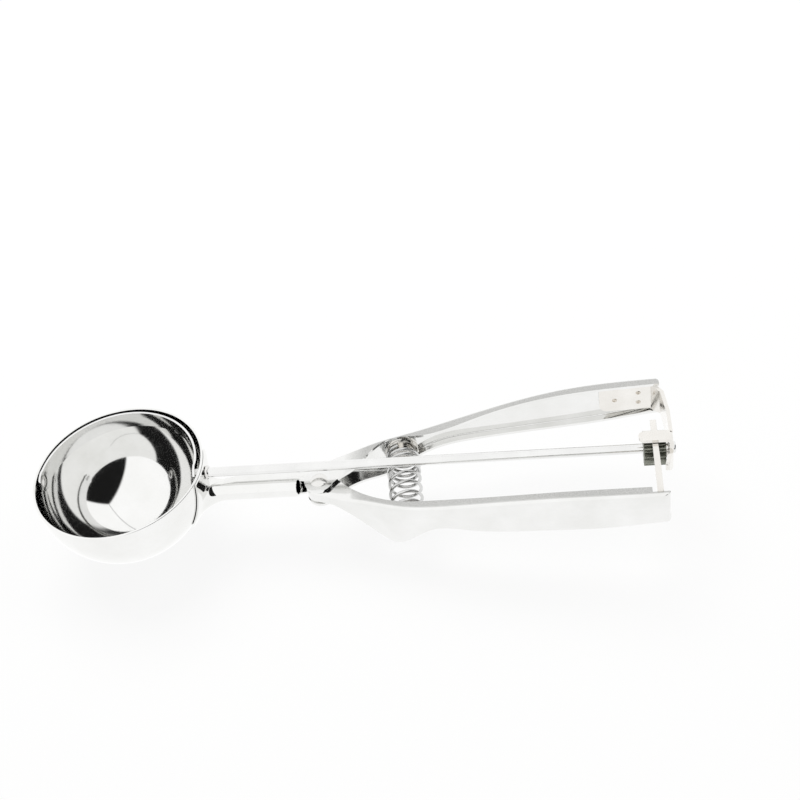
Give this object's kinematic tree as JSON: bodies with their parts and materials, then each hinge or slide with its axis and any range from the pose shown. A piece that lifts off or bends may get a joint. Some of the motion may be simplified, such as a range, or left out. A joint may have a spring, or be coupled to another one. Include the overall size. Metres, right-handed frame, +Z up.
{
  "type": "lever ice cream scoop",
  "caption": "Squeeze-handle ice cream scoop: a round steel bowl whose scraper blade is swept by a rod, pinion and rack when the sprung handles close.",
  "frame": {"origin": "middle of the whole scoop's length and width, on the level of the bowl's lowest point", "axes": "+X from the bowl to the handle ends, +Y to the fixed handle, +Z up out of the bowl's mouth"},
  "size_m": [0.2128, 0.058, 0.0381],
  "materials": {
    "mirror_steel": "mirror polished stainless steel",
    "pressed_steel": "pressed and polished stainless steel",
    "bracket_steel": "tumbled stainless strip",
    "rivet_steel": "polished stainless rivet",
    "spring_wire": "drawn stainless spring wire",
    "rod_steel": "drawn and polished stainless rod",
    "gear_steel": "sintered steel gear",
    "blade_steel": "polished spring steel strip"
  },
  "bodies": {
    "frame": {"bowl": "mirror_steel", "shank": "mirror_steel", "fixed_handle": "pressed_steel", "end_bracket": "bracket_steel", "bracket_spot_welds": "bracket_steel", "pivot_rivet": "rivet_steel", "pivot_washer": "rivet_steel", "front_pin": "rivet_steel", "spring_seat_fixed": "bracket_steel", "return_spring": "spring_wire"},
    "lever": {"lever_handle": "pressed_steel", "gear_rack": "bracket_steel", "rack_spot_welds": "bracket_steel", "spring_seat_lever": "bracket_steel"},
    "blade_shaft": {"drive_rod": "rod_steel", "pinion": "gear_steel", "scraper_blade": "blade_steel", "rod_collar": "rivet_steel", "rear_washer": "rivet_steel"}
  },
  "joints": [
    {"name": "lever_pivot", "type": "hinge", "parent": "frame", "child": "lever", "pos_m": [-0.00941, -0.002, 0.0206], "axis": [0, 0, 1], "range_deg": [0, 7.2], "stiffness_Nm_per_rad": 1.45, "springref_deg": -17.19, "deforming": ["return_spring"]},
    {"name": "rod_spin", "type": "hinge", "parent": "frame", "child": "blade_shaft", "pos_m": [-0.07681, 0, 0.029], "axis": [1, 0, 0], "range_deg": [-165, 0]}
  ],
  "couplings": [
    {"joint": "rod_spin", "follows": "lever_pivot", "ratio": -22.735}
  ]
}
